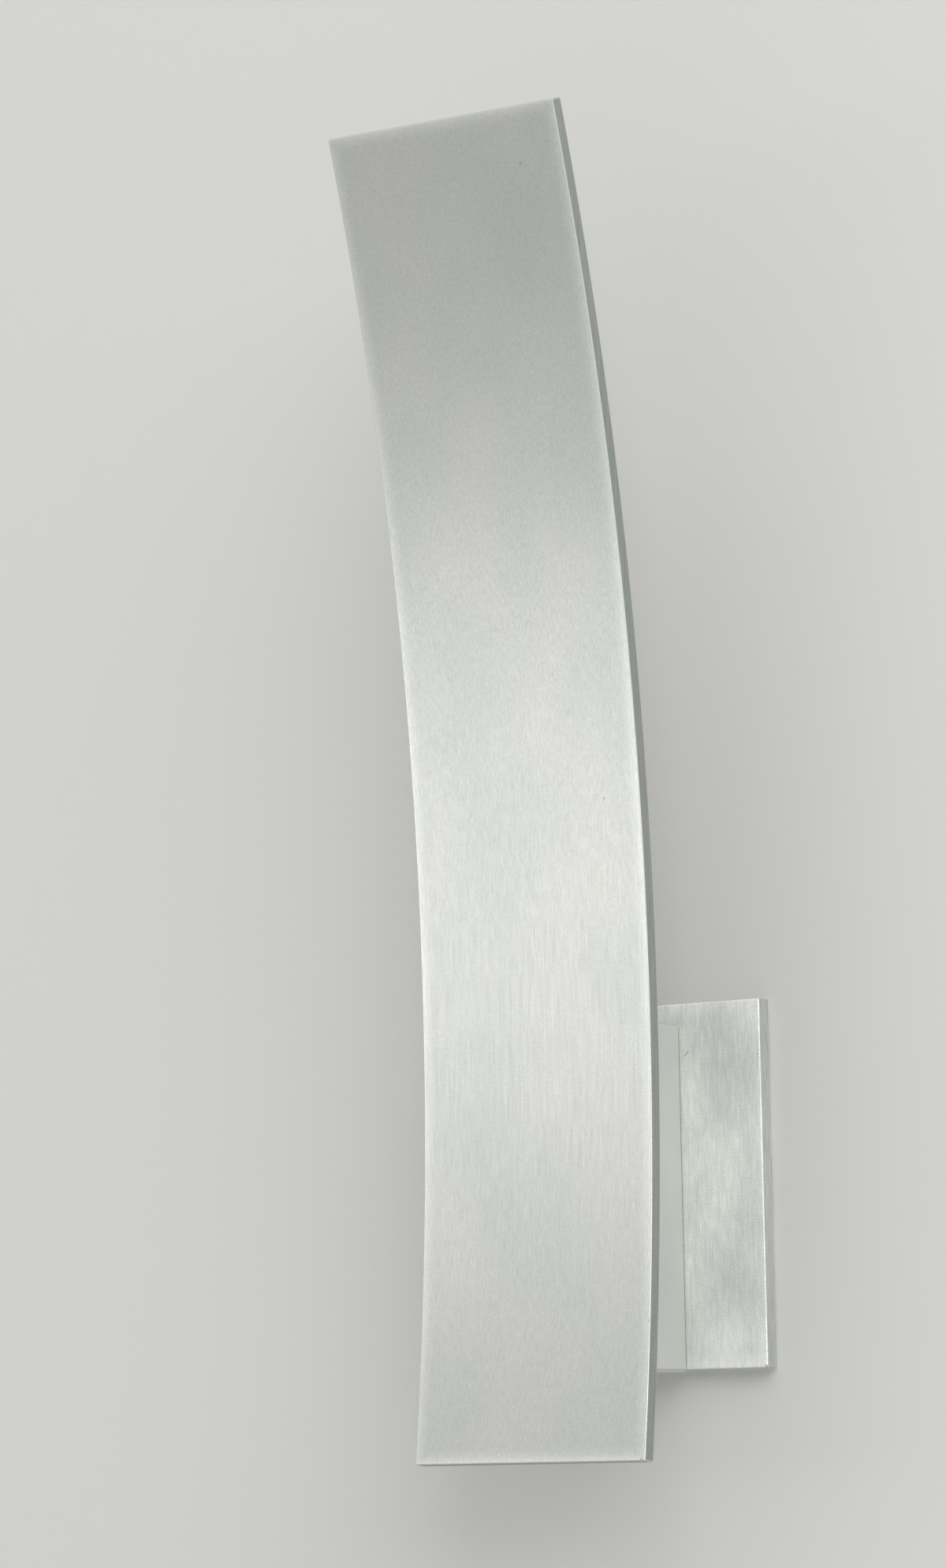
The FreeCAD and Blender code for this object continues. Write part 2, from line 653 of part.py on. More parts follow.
def make_small_screws(label, places, head_seat, sign, reach, flush=False):
    """Group of small socket screws whose heads sit at one height, above or below their shanks."""
    body = piece(label)
    down = sign == ""
    extrude(body, "XY_Plane", head_seat, reach, discs(places, "small_screw_radius"), back=down)
    heads = discs(places, "small_head_radius")
    if flush:
        extrude(body, "XY_Plane", head_seat, "small_head_height", heads, back=down)
        inner_end = value(head_seat) - (1 if down else -1) * value("small_head_height")
        shank_radius = value("small_screw_radius") + SAME_PLACE
        dress(body, "Chamfer", "small_head_radius - small_screw_radius - thread_clearance",
              lambda edge: lies_at(edge, z=inner_end) and edge.Curve.Radius > shank_radius)
        drive_start, drive_back = head_seat, down
    else:
        extrude(body, "XY_Plane", head_seat, "small_head_height", heads, back=not down)
        drive_start = "%s %s small_head_height" % (head_seat, "+" if down else "-")
        outer_end = value(drive_start)
        dress(body, "Fillet", "small_head_height / 2", lambda edge: lies_at(edge, z=outer_end))
        drive_back = down
    extrude(body, "XY_Plane", drive_start, "small_head_height * drive_depth_share",
            hexagons(places, "small_head_radius * drive_share"), cut=True, back=drive_back)


def make_bottom_cover():
    """Cover with a plug inside the housing's walls, countersunk screw holes and a weep hole."""
    body = piece("bottom_cover")
    side = "housing_width / 2"
    extrude(body, "XY_Plane", "housing_bottom - cover_gauge", "cover_gauge",
            [block("-" + side, "-bottom_front_out", side, "-housing_back_out")])
    inner = "(inner_width / 2 - cover_clearance)"
    extrude(body, "XY_Plane", "housing_bottom", "cover_plug",
            [block("-" + inner, "-(inner_front_out - cover_clearance)", inner,
                   "-(housing_inner_out + cover_clearance)")])
    holes = clear_holes(post_places(), "small_screw_radius")
    holes.append(disc("0", "-module_middle_out", "weep_radius"))
    extrude(body, "XY_Plane", "housing_bottom - cover_gauge", "cover_gauge + cover_plug + overrun", holes,
            cut=True)
    document.recompute()
    sinks = clear_holes(post_places(), "small_head_radius")
    extrude(body, "XY_Plane", "housing_bottom - cover_gauge", "small_head_height", sinks, cut=True)


def make_blade():
    """Curved plate with ends square to the arc and lightly broken edges."""
    body = piece("blade")
    points = []
    low, high = "-blade_bottom_angle", "blade_top_angle"
    for radius, angle in (("blade_radius", low), ("blade_back_radius", low),
                          ("blade_back_radius", high), ("blade_radius", high)):
        points.append(("%s * cos(%s) - blade_axis_out" % (radius, angle),
                       "%s * sin(%s) + plumb_height" % (radius, angle)))
    back_face, front_face = blade_arc("blade_back_radius", "left"), blade_arc("blade_radius", "right")
    outline = corners(points, {1: back_face, 3: front_face})
    extrude(body, "YZ_Plane", "0", "blade_width", [outline], both_ways=True)
    dress(body, "Chamfer", "edge_break", lambda edge: True)


def stud_height(number):
    """Height of a stud at the blade's back."""
    return "(stud_top - %d * stud_pitch)" % number


def radial(thing, number, radius):
    """Stand a thing on the blade's arc at a radius, its own axis pointing square away from the blade."""
    angle = "asin((%s - plumb_height) / blade_back_radius)" % stud_height(number)
    thing.Placement = FreeCAD.Placement(FreeCAD.Vector(), FreeCAD.Rotation(FreeCAD.Vector(-1, 0, 0), 90))
    bind(thing, "Placement.Rotation.Angle", "90 deg - " + angle)
    bind(thing, "Placement.Base.y", "(%s) * cos(%s) - blade_axis_out" % (radius, angle))
    bind(thing, "Placement.Base.z", "(%s) * sin(%s) + plumb_height" % (radius, angle))


def rod(label, radius, length):
    """Make a plain round primitive that follows the sheet."""
    thing = document.addObject("Part::Cylinder", label)
    bind(thing, "Radius", radius)
    bind(thing, "Height", length)
    return thing


def group(label, members):
    """Gather like pieces in one node."""
    node = document.addObject("Part::Compound", label)
    node.Label = label
    node.Links = members
    pieces.append(node)


def bored(label, outside, bore):
    """Cut a bore out of a primitive."""
    thing = document.addObject("Part::Cut", label)
    thing.Base = outside
    thing.Tool = bore
    return thing


def make_blade_studs():
    """Studs welded to the blade's back, each with a washer and a nut inside the housing."""
    studs, washers, nuts = [], [], []
    for number in range(STUD_COUNT):
        stud = rod("stud", "stud_radius", "stud_length")
        radial(stud, number, "blade_back_radius")
        studs.append(stud)
        ring = rod("washer_blank", "washer_radius", "washer_gauge")
        ring_bore = rod("washer_bore", "stud_radius + thread_clearance", "washer_gauge")
        prism = document.addObject("Part::Prism", "nut_blank")
        prism.Polygon = HEXAGON
        bind(prism, "Circumradius", "nut_corner_radius")
        bind(prism, "Height", "nut_height")
        nut_bore = rod("nut_bore", "stud_radius + thread_clearance", "nut_height")
        for thing in (ring, ring_bore):
            radial(thing, number, "seat_inner_radius")
        for thing in (prism, nut_bore):
            radial(thing, number, "seat_inner_radius + washer_gauge")
        washers.append(bored("washer", ring, ring_bore))
        nuts.append(bored("nut", prism, nut_bore))
    group("blade_studs", studs)
    group("stud_washers", washers)
    group("stud_nuts", nuts)


# The lamp module

def on_module(width, length, across="0", along="0"):
    """Rectangle about the middle of the lamp module, seen from above."""
    return panel(width, length, across, "%s - module_middle_out" % along)


def lead_hole(radius):
    """Hole that the lamp's leads come up through."""
    return disc("0", "-lead_hole_out", radius)


def make_led_tray():
    """Thick plate on the housing's posts that spreads the lamp's heat."""
    body = piece("led_tray")
    holes = clear_holes(post_places(), "small_screw_radius")
    holes += clear_holes(bezel_screw_places(), "bezel_screw_radius")
    holes += clear_holes(board_screw_places(), "bezel_screw_radius")
    extrude(body, "XY_Plane", "tray_bottom", "tray_gauge",
            [on_module("module_width", "module_length"), lead_hole("lead_hole_radius")] + holes)


def bezel_screw_places():
    """Places of the two screws at the ends of the module."""
    return [("0", "%sbezel_screw_place - module_middle_out" % sign) for sign in ("", "-")]


def board_screw_places():
    """Places of the two screws at the ends of the lamp board."""
    return [("0", "%sboard_screw_place - module_middle_out" % sign) for sign in ("", "-")]


def make_led_board():
    """Metal-cored board with its thermal pad under it."""
    holes = clear_holes(board_screw_places(), "bezel_screw_radius")
    holes.append(lead_hole("lead_hole_radius"))
    outline = on_module("board_width", "board_length")
    pad_body = piece("thermal_pad")
    extrude(pad_body, "XY_Plane", "tray_top", "thermal_pad_gauge", [outline] + holes)
    body = piece("led_board")
    extrude(body, "XY_Plane", "board_bottom", "board_gauge", [outline])
    half_width, half_length = value("board_width / 2"), value("board_length / 2")
    middle = value("module_middle_out")
    sides = [(x, y) for x in (-half_width, half_width) for y in (-middle - half_length, half_length - middle)]
    dress(body, "Fillet", "board_corner", lambda edge: any(lies_at(edge, x=x, y=y) for x, y in sides))
    extrude(body, "XY_Plane", "board_bottom", "board_gauge", holes, cut=True)


def make_led_chips():
    """Two rows of light-emitting chips on the board."""
    body = piece("led_chips")
    chips = []
    for side in ("chip_side", "-chip_side"):
        for number in range(CHIPS_IN_A_ROW):
            along = "(%s * chip_pitch)" % (number - (CHIPS_IN_A_ROW - 1) / 2)
            chips.append(on_module("chip_size", "chip_size", side, along))
    extrude(body, "XY_Plane", "board_top", "chip_height", chips)


def make_short_screws(label, places, seat, reach):
    """Group of the module's smaller screws with their heads up."""
    body = piece(label)
    extrude(body, "XY_Plane", seat, reach, discs(places, "bezel_screw_radius"), back=True)
    extrude(body, "XY_Plane", seat, "bezel_head_height", discs(places, "bezel_head_radius"))
    head_end = value(seat + " + bezel_head_height")
    dress(body, "Fillet", "bezel_head_height / 2", lambda edge: lies_at(edge, z=head_end))
    extrude(body, "XY_Plane", seat + " + bezel_head_height", "bezel_head_height * drive_depth_share",
            hexagons(places, "bezel_head_radius * drive_share"), cut=True, back=True)


def make_reflector():
    """White frame round the board that carries the lens and its gasket, with a screw block at each end."""
    body = piece("reflector")
    extrude(body, "XY_Plane", "tray_top", "lens_top - tray_top", [on_module("module_width", "module_length")])
    extrude(body, "XY_Plane", "lens_gasket_bottom", "lens_top - lens_gasket_bottom",
            [on_module("module_width + overrun", "lens_length + 2 * gasket_clearance")], cut=True)
    extrude(body, "XY_Plane", "tray_top", "reflector_height",
            [on_module("module_width - 2 * reflector_wall", "lens_length - 2 * reflector_wall")], cut=True)
    holes = clear_holes(bezel_screw_places(), "bezel_screw_radius")
    extrude(body, "XY_Plane", "tray_top", "lens_top - tray_top", holes, cut=True)
    heads = discs(post_places(), "small_head_radius + module_clearance")
    extrude(body, "XY_Plane", "tray_top", "small_head_height + module_clearance", heads, cut=True)


def make_lens_parts():
    """Gasket, frosted lens and the bezel that holds them down."""
    gasket = piece("lens_gasket")
    outer = on_module("module_width", "lens_length")
    inner = on_module("module_width - 2 * lens_gasket_width", "lens_length - 2 * lens_gasket_width")
    extrude(gasket, "XY_Plane", "lens_gasket_bottom", "lens_gasket_gauge", [outer, inner])
    lens = piece("lens")
    extrude(lens, "XY_Plane", "lens_bottom", "lens_gauge", [outer])
    bezel = piece("lens_bezel")
    window = on_module("module_width - 2 * bezel_lip", "lens_length - 2 * bezel_lip")
    holes = clear_holes(bezel_screw_places(), "bezel_screw_radius")
    extrude(bezel, "XY_Plane", "lens_top", "bezel_gauge",
            [on_module("module_width", "module_length"), window] + holes)


# The driver, its carrier and the wiring

def driver_panel(depth, height, out="driver_middle_out", up="driver_middle_height"):
    """Rectangle about the middle of the driver, seen from the side."""
    return panel(depth, height, "-" + out, up)


def make_driver_carrier():
    """Bent sheet that hangs from the lamp's tray and carries the driver and the terminal block."""
    body = piece("driver_carrier")
    upright = block("-carrier_front_out", "carrier_bottom", "-carrier_back_out", "tray_bottom")
    extrude(body, "YZ_Plane", "-carrier_side", "carrier_gauge", [upright])
    flange = block("-carrier_side", "-carrier_front_out", "post_side", "-carrier_back_out")
    extrude(body, "XY_Plane", "tray_bottom", "carrier_gauge", [flange], back=True)
    holes = [lead_hole("lead_hole_radius")]
    holes += clear_holes(board_screw_places(), "bezel_screw_radius")
    extrude(body, "XY_Plane", "tray_bottom", "carrier_gauge", holes, cut=True, back=True)
    extrude(body, "YZ_Plane", "-carrier_side", "carrier_gauge",
            clear_holes(driver_screw_places(), "bezel_screw_radius"), cut=True)


def driver_screw_places():
    """Places along Y and up of the two screws in the driver's tabs."""
    return [("-driver_middle_out", "driver_middle_height %s tab_screw_place" % sign) for sign in "+-"]


def make_driver_case():
    """Open case with a screw tab at each end and four stand-offs for its board."""
    body = piece("driver_case")
    extrude(body, "YZ_Plane", "-carrier_face", "driver_width - driver_wall",
            [driver_panel("driver_depth", "driver_height")])
    extrude(body, "YZ_Plane", "-carrier_face", "driver_tab_gauge",
            [driver_panel("driver_depth / 2", "driver_height + 2 * driver_tab")])
    inside = driver_panel("driver_depth - 2 * driver_wall", "driver_height - 2 * driver_wall")
    extrude(body, "YZ_Plane", "-driver_open_side", "driver_width - 2 * driver_wall", [inside], cut=True,
            back=True)
    stands = []
    for along in ("-", "+"):
        for up in ("-", "+"):
            stands.append(("-driver_middle_out %s driver_board_depth / 3" % along,
                           "driver_middle_height %s driver_board_height / 3" % up))
    extrude(body, "YZ_Plane", "-(carrier_face - driver_wall / 2)", "driver_wall / 2 + driver_board_stand",
            discs(stands, "driver_standoff_radius"))
    extrude(body, "YZ_Plane", "-carrier_face", "driver_tab_gauge",
            clear_holes(driver_screw_places(), "bezel_screw_radius"), cut=True)
    extrude(body, "XY_Plane", "driver_top", "driver_wall", [lead_hole("lead_hole_radius")], cut=True,
            back=True)
    entries = [("lead_across", height) for height in mains_heights()]
    extrude(body, "XZ_Plane", "driver_back_out", "driver_wall", clear_holes(entries, "lead_radius"), cut=True)


def make_driver_lid():
    """Lid of the driver case, with a lip inside its walls."""
    body = piece("driver_lid")
    outside = driver_panel("driver_depth", "driver_height")
    extrude(body, "YZ_Plane", "-driver_open_side", "driver_wall", [outside])
    inset = "2 * (driver_wall + driver_lid_clearance)"
    extrude(body, "YZ_Plane", "-driver_open_side", "driver_lid_lip",
            [driver_panel("driver_depth - " + inset, "driver_height - " + inset)], back=True)


def make_driver_parts():
    """Circuit board with its transformer and two capacitors."""
    board = piece("driver_board")
    extrude(board, "YZ_Plane", "-driver_board_back", "driver_board_gauge",
            [driver_panel("driver_board_depth", "driver_board_height")])
    transformer = piece("driver_transformer")
    middle = ("-driver_middle_out", "driver_middle_height")
    core = panel("transformer_core_depth", "transformer_core_length", *middle)
    extrude(transformer, "YZ_Plane", "-driver_board_face", "transformer_core_height", [core])
    extrude(transformer, "YZ_Plane", "-driver_board_face", "driver_part_height - transformer_core_height",
            [disc(*middle, "transformer_winding_radius")])
    extrude(transformer, "YZ_Plane", "driver_part_height - transformer_core_height - driver_board_face",
            "transformer_core_height", [core])
    capacitors = piece("driver_capacitors")
    up = "driver_middle_height - driver_board_height / 3"
    side = "(capacitor_radius + capacitor_gap / 2)"
    cans = [disc("-driver_middle_out %s %s" % (sign, side), up, "capacitor_radius") for sign in "+-"]
    extrude(capacitors, "YZ_Plane", "-driver_board_face", "driver_part_height", cans)
    can_end = value("driver_part_height - driver_board_face")
    dress(capacitors, "Fillet", "capacitor_radius / 6", lambda edge: lies_at(edge, x=can_end))


def make_driver_screws():
    """Two screws through the driver's tabs into the carrier."""
    body = piece("driver_screws")
    places = driver_screw_places()
    extrude(body, "YZ_Plane", "-tab_face", "driver_tab_gauge + carrier_gauge",
            discs(places, "bezel_screw_radius"), back=True)
    extrude(body, "YZ_Plane", "-tab_face", "bezel_head_height", discs(places, "bezel_head_radius"))
    head_end = value("bezel_head_height - tab_face")
    dress(body, "Fillet", "bezel_head_height / 2", lambda edge: lies_at(edge, x=head_end))
    extrude(body, "YZ_Plane", "bezel_head_height - tab_face", "bezel_head_height * drive_depth_share",
            hexagons(places, "bezel_head_radius * drive_share"), cut=True, back=True)


def terminal_heights():
    """Heights of the terminals' middles."""
    return ["terminal_top - %s * terminal_pitch" % (number + 0.5) for number in range(TERMINAL_COUNT)]


def mains_heights():
    """Heights of the live and neutral leads between the terminal block and the driver."""
    return terminal_heights()[:2]


def make_terminal_block():
    """Three-way block on the carrier, with wire holes and screw wells, and its clamp screws."""
    body = piece("terminal_block")
    height = "%d * terminal_pitch" % TERMINAL_COUNT
    middle = "terminal_top - (%s) / 2" % height
    extrude(body, "YZ_Plane", "-carrier_face", "terminal_height",
            [panel("terminal_depth", height, "-terminal_middle_out", middle)])
    entries = [("lead_across", up) for up in terminal_heights()]
    extrude(body, "XZ_Plane", "terminal_front_out", "terminal_depth", clear_holes(entries, "lead_radius"),
            cut=True, back=True)
    wells = [("-terminal_middle_out", up) for up in terminal_heights()]
    extrude(body, "YZ_Plane", "-terminal_face", "terminal_screw_depth",
            clear_holes(wells, "terminal_screw_radius"), cut=True, back=True)
    screws = piece("terminal_screws")
    extrude(screws, "YZ_Plane", "-(terminal_face + terminal_screw_depth)",
            "terminal_screw_depth * drive_depth_share", discs(wells, "terminal_screw_radius"))


def make_mains_leads():
    """Short insulated leads from the terminal block to the driver."""
    for label, up in zip(("lead_live", "lead_neutral"), mains_heights()):
        body = piece(label)
        reach = "driver_back_out + driver_wall - terminal_middle_out"
        extrude(body, "XZ_Plane", "terminal_middle_out", reach, [disc("lead_across", up, "lead_radius")])


def make_lamp_lead(label, across):
    """Insulated lead from the driver up through the tray, bent over onto the lamp board."""
    body = piece(label)
    start, bent = "-lead_hole_out", "-(lead_hole_out + lead_bend)"
    turn = "lead_top - lead_bend"
    points = [(start, "driver_top - driver_wall"), (start, turn), (bent, "lead_top"),
              (bent + " - lead_landing", "lead_top")]
    route = new_sketch(body, "YZ_Plane", across)
    draw_corners(route, points, {1: (bent, turn, "lead_bend", "left")}, closed=False)
    section = new_sketch(body, "XY_Plane", "driver_top - driver_wall")
    draw_disc(section, across, start, "lead_radius")
    pipe = body.newObject("PartDesign::AdditivePipe", label + "_pipe")
    pipe.Profile = section
    pipe.Spine = (route, ["Edge1", "Edge2", "Edge3"])


def build():
    """Make every piece."""
    fill_sheet()
    make_wall_bracket()
    make_ground_screw()
    make_wall_gasket()
    make_back_plate()
    make_set_screw("set_screw_top", "")
    make_set_screw("set_screw_bottom", "-")
    make_housing_screws()
    make_wire_grommet()
    make_housing_gasket()
    make_lamp_housing()
    make_bottom_cover()
    make_small_screws("cover_screws", post_places(), "housing_bottom - cover_gauge", "-",
                      "cover_gauge + cover_plug + small_screw_reach", flush=True)
    make_blade()
    make_blade_studs()
    make_led_tray()
    make_small_screws("tray_screws", post_places(), "tray_top", "", "tray_gauge + small_screw_reach")
    make_led_board()
    make_led_chips()
    make_short_screws("board_screws", board_screw_places(), "board_top",
                      "board_top - tray_bottom + carrier_gauge")
    make_reflector()
    make_lens_parts()
    make_short_screws("bezel_screws", bezel_screw_places(), "bezel_top", "bezel_top - tray_bottom")
    make_driver_carrier()
    make_driver_case()
    make_driver_lid()
    make_driver_parts()
    make_driver_screws()
    make_terminal_block()
    make_mains_leads()
    make_lamp_lead("lamp_lead_red", "lead_spacing / 2")
    make_lamp_lead("lamp_lead_black", "-lead_spacing / 2")


def check():
    """Stop at a failed object, a cut that removes nothing or a piece without a valid solid."""
    for thing in document.Objects:
        if {"Invalid", "Error"} & set(thing.State):
            raise RuntimeError("%s is not up to date: %s" % (thing.Name, thing.State))
        if thing.TypeId == "PartDesign::Pocket":
            if thing.Shape.Volume > thing.BaseFeature.Shape.Volume - LEAST_CUT:
                raise RuntimeError("%s cuts nothing" % thing.Name)
    for node in pieces:
        if node.Shape.isNull() or not node.Shape.isValid() or not node.Shape.Solids:
            raise RuntimeError("%s has no valid solid" % node.Label)


def export():
    """Write one file for each piece."""
    os.makedirs("parts", exist_ok=True)
    for node in pieces:
        node.Shape.exportStep("parts/%s.step" % node.Label)
        box = node.Shape.BoundBox
        print("%-20s %2d solid(s) %9.1f mm3  x %.2f %.2f  y %.2f %.2f  z %.2f %.2f" % (
            node.Label, len(node.Shape.Solids), node.Shape.Volume, box.XMin, box.XMax, box.YMin, box.YMax,
            box.ZMin, box.ZMax))


build()
document.recompute()
check()
export()
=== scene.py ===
import json
import math

import bmesh
import bpy
from mathutils import Matrix, Vector


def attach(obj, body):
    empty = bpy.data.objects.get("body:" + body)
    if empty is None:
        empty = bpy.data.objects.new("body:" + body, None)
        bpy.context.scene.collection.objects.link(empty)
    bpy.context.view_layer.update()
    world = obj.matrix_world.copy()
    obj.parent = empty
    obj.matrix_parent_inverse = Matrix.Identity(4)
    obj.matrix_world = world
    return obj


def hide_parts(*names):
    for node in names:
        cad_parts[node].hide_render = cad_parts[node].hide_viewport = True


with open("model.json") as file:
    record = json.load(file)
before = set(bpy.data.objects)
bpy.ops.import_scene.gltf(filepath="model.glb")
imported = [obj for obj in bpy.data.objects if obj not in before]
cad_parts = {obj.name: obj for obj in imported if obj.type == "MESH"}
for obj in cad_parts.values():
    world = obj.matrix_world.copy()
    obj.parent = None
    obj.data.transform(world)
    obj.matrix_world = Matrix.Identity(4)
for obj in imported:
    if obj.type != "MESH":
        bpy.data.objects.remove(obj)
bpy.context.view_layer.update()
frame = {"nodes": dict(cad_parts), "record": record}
nodes = frame["nodes"]

MM = 0.001

# Sizes that the dressed pieces share with the solids, in metres
BLADE_WIDTH = 114.3 * MM
BLADE_GAUGE = 6.35 * MM
BLADE_RADIUS = 1300.0 * MM
BLADE_STANDOFF = 93.5 * MM
PLUMB_HEIGHT = 55.3 * MM
BLADE_TOP_ANGLE = math.radians(17.28)
BLADE_BOTTOM_ANGLE = math.radians(7.58)
BLADE_LOW = PLUMB_HEIGHT - BLADE_RADIUS * math.sin(BLADE_BOTTOM_ANGLE)
BLADE_HIGH = PLUMB_HEIGHT + BLADE_RADIUS * math.sin(BLADE_TOP_ANGLE)
EDGE_BREAK = 0.4 * MM
PLATE_HEIGHT = 156.0 * MM

# How finely the pieces are made
BLADE_STEPS = 192
EDGE_SEGMENTS = 3
SHARP_ANGLE = math.radians(30.0)
FLAT_ANGLE = math.radians(0.5)
MERGE_REACH = 0.001 * MM
NORMAL_WEIGHT = 80

# Camera, fitted to the edges of the blade, the box and the plate
CAMERA_PLACE = Vector((1.29139, -2.02198, -0.11586))
CAMERA_YAW = math.radians(34.40)
CAMERA_PITCH = math.radians(6.96)
CAMERA_ROLL = math.radians(-1.09)
CAMERA_LENS = 127.67
CAMERA_REACH = 50.0
SENSOR = 36.0

# Stage. The wall stands just behind the back plate, and shows in gloss and glass from
# MIRROR_START on
FLOOR_HEIGHT = -1.2
STAGE_REACH = 12.0
WALL_GAP = 1.5 * MM
MIRROR_START = 30.0 * MM

# Light of the room
WORLD_COLOR = (1.0, 1.0, 0.995)
WORLD_STRENGTH = 0.68


# Materials

WHITE = (1.0, 1.0, 1.0)
COOL = (0.975, 1.0, 0.998)
ALUMINIUM = (0.68, 0.685, 0.66)
DULL_ZINC = (0.595, 0.578, 0.51)

# The colour sockets of a mix node, which share their names with its other sockets
MIX_FIRST, MIX_SECOND, MIX_RESULT = 6, 7, 2

# Noise gathers about its middle. A look runs from one end to the other over this part of it
NOISE_PART = (0.3, 0.7)
STREAK_PART = (0.36, 0.64)
LAYER_PART = (0.34, 0.66)
GLOSS_PART = (0.35, 0.65)

# Of a layer's depth, the shares that darken and that lighten, and what streaks and mottle lighten
LAYER_DARK = 0.6
LAYER_LIGHT = 0.4
STREAK_LIGHT = 0.6
MOTTLE_LIGHT = 0.5

# Brushed faces: the stretch of the tooth's noise, how far the streaks change the gloss, and the
# tint of a pale rim, which is a painted highlight, and how steeply it falls off
TOOTH_STRETCH = (2400, 2400, 1500)
GLOSS_SWING = 0.015
PAINTED_HIGHLIGHT_TINT = (1.0, 1.005, 1.02)
PAINTED_HIGHLIGHT_FALL = 1.8

# The map that the grain's gloss follows. A face that is nearer to level than this gets a fixed
# direction there
GRAIN_MAP = "grain"
NEARLY_LEVEL = 0.3

# Small dark marks, painted shade for little nicks: the noise that makes them ragged, how far it
# moves their outline in all, the core's share of the radius, how much of the finish a core covers,
# and how dark they are
MARK_NOISE = 1800.0
MARK_SHIFT = 0.9 * MM
MARK_CORE = 0.4
MARK_COVER = 0.8
MARK_PAINTED_SHADE = 0.22

# Rubbed edges: how far the wear reaches, and the cosines of the angle between the face's normal
# and the rounded one, from most worn to least
WEAR_REACH = 0.35 * MM
WEAR_TURN = (0.85, 0.995)


def mark(x, y, z, radius):
    """Place and radius of a small dark mark, painted shade for a nick, from millimetres."""
    return (x * MM, y * MM, z * MM), radius * MM


# Little nicks, drawn as small dark marks of painted shade
BLADE_PAINTED_NICKS = (mark(36.1, -145.3, 418.6, 0.5), mark(39.5, -97.5, 157.3, 0.5),
               mark(56.9, -98.6, -59.6, 0.7), mark(55.6, -104.9, -116.0, 0.9))
PLATE_PAINTED_NICKS = (mark(19.9, -7.5, 56.0, 0.55), mark(20.9, -7.5, 57.0, 0.55),
               mark(56.6, -7.5, -77.6, 0.8))


def shade(color, factor):
    return tuple(channel * factor for channel in color)


